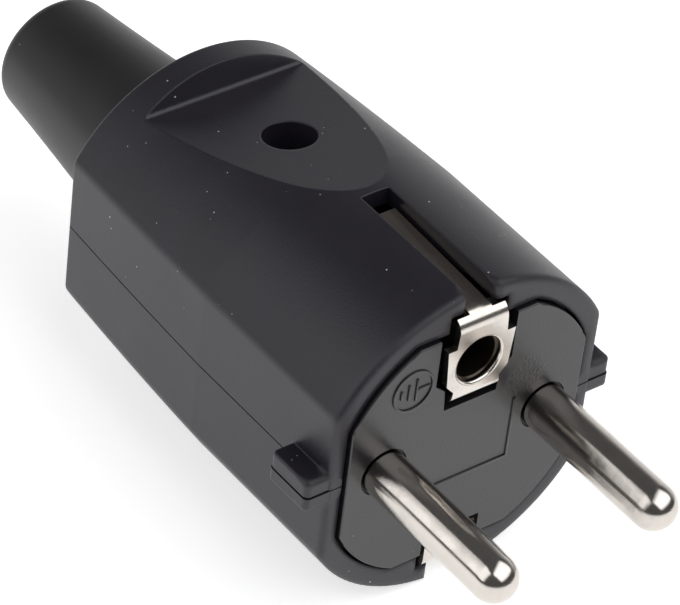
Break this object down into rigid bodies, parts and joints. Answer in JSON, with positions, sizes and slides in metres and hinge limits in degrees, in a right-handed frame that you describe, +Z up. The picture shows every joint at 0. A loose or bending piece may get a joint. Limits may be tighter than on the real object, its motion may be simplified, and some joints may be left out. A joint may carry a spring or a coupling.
{
  "type": "grounded plug",
  "caption": "Rewirable grounded mains plug with round pins, a female earth contact, side earth contacts, a scooped grip on its casing and a rubber bend sleeve.",
  "frame": {"origin": "centre of the contact face, midway between the two pins", "axes": "+X to the right seen from the front, +Y into the body along the pins, +Z up from the pin line towards the earth hole"},
  "size_m": [0.0364, 0.0889, 0.0356],
  "materials": {
    "casing": "fine satin moulded plastic",
    "carrier": "smooth semi-gloss moulded plastic",
    "nickel": "bright nickel plate on turned brass",
    "nickel_strip": "nickel-plated strip",
    "brass": "machined",
    "steel": "zinc-plated",
    "sleeve": "smooth soft rubber"
  },
  "bodies": {
    "root": {"upper_casing": "casing", "lower_casing": "casing", "contact_carrier": "carrier", "left_pin": "nickel", "right_pin": "nickel", "left_terminal": "brass", "right_terminal": "brass", "earth_terminal": "brass", "terminal_screws": "steel", "earth_strap": "nickel_strip", "earth_socket": "nickel_strip", "earth_rivet": "brass", "casing_screw": "steel", "casing_nut": "steel", "cable_clamp": "carrier", "clamp_screws": "steel", "bend_sleeve": "sleeve"}
  },
  "joints": []
}
